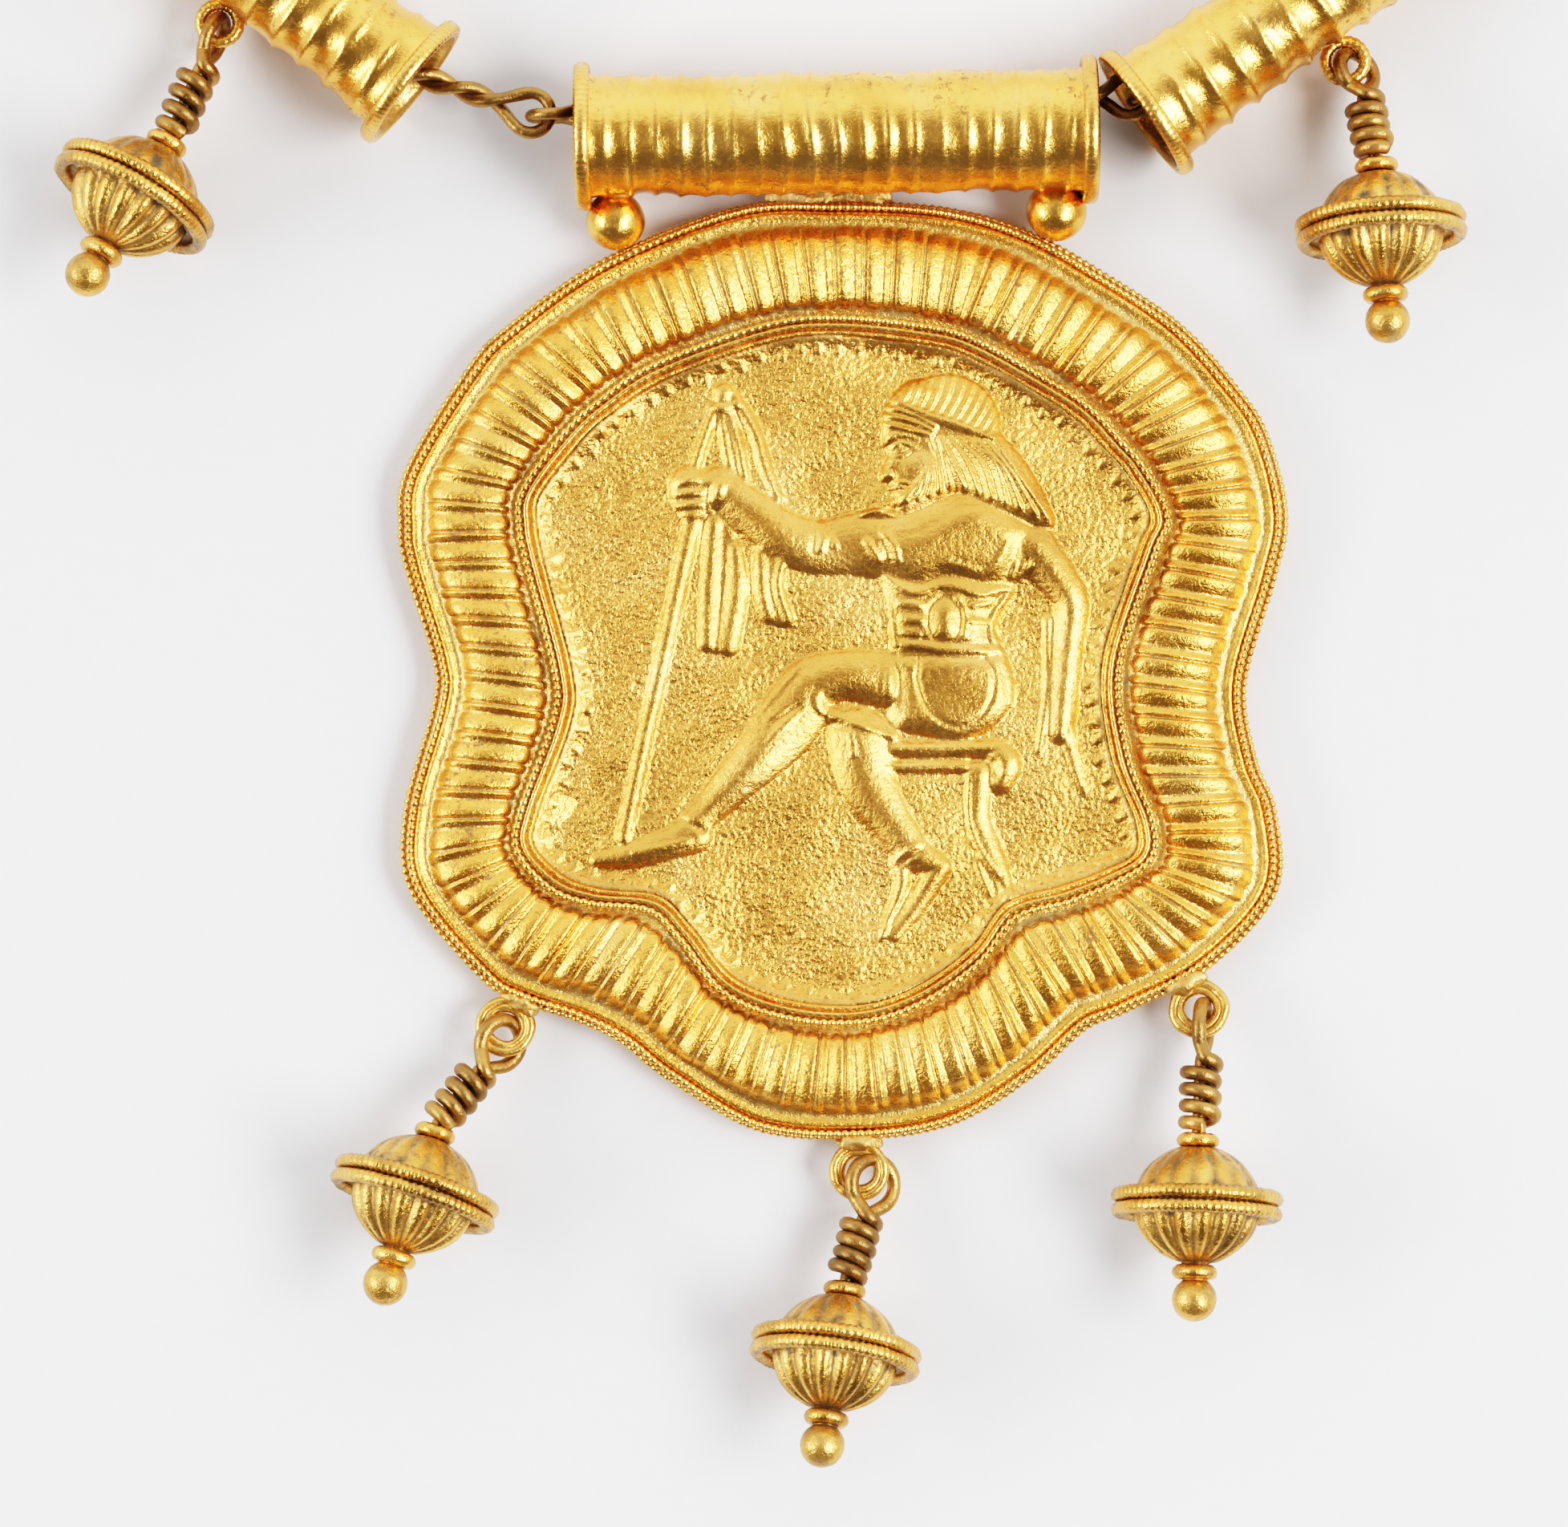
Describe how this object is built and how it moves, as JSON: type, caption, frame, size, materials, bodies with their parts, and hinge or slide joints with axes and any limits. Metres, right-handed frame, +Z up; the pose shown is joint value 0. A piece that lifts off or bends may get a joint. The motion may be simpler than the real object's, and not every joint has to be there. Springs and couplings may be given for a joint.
{
  "type": "medallion necklace",
  "caption": "Ancient-style gold necklace lying flat: a wavy embossed medallion with fluted drops, hung on ribbed tubes with twisted wire links and a plain clasp.",
  "frame": {"origin": "on the surface it lies on, at the middle of the medallion's flat back", "axes": "+X to the picture's right, +Y toward the top of the medallion and the back of the neck, +Z up from the surface, out of the medallion's picture side"},
  "size_m": [0.1305, 0.2232, 0.0096],
  "materials": {
    "medallion_gold": "satin, worn",
    "bead_gold": "satin, brown in the grooves",
    "tube_gold": "satin, worn",
    "wire_gold": "matte, brown",
    "clasp_gold": "satin"
  },
  "bodies": {
    "root": {"medallion": "medallion_gold", "drop_bead_1": "bead_gold", "drop_bead_2": "bead_gold", "drop_bead_3": "bead_gold", "drop_bead_4": "bead_gold", "drop_bead_5": "bead_gold", "drop_wire_1": "wire_gold", "drop_wire_2": "wire_gold", "drop_wire_3": "wire_gold", "drop_wire_4": "wire_gold", "drop_wire_5": "wire_gold", "tube_left_1": "tube_gold", "tube_left_2": "tube_gold", "tube_left_3": "tube_gold", "tube_left_4": "tube_gold", "tube_left_5": "tube_gold", "tube_left_6": "tube_gold", "tube_right_1": "tube_gold", "tube_right_2": "tube_gold", "tube_right_3": "tube_gold", "tube_right_4": "tube_gold", "tube_right_5": "tube_gold", "tube_right_6": "tube_gold", "link_bail": "wire_gold", "link_left_1": "wire_gold", "link_left_2": "wire_gold", "link_left_3": "wire_gold", "link_left_4": "wire_gold", "link_left_5": "wire_gold", "link_left_6": "wire_gold", "link_right_1": "wire_gold", "link_right_2": "wire_gold", "link_right_3": "wire_gold", "link_right_4": "wire_gold", "link_right_5": "wire_gold", "link_right_6": "wire_gold", "clasp": "clasp_gold"}
  },
  "joints": []
}
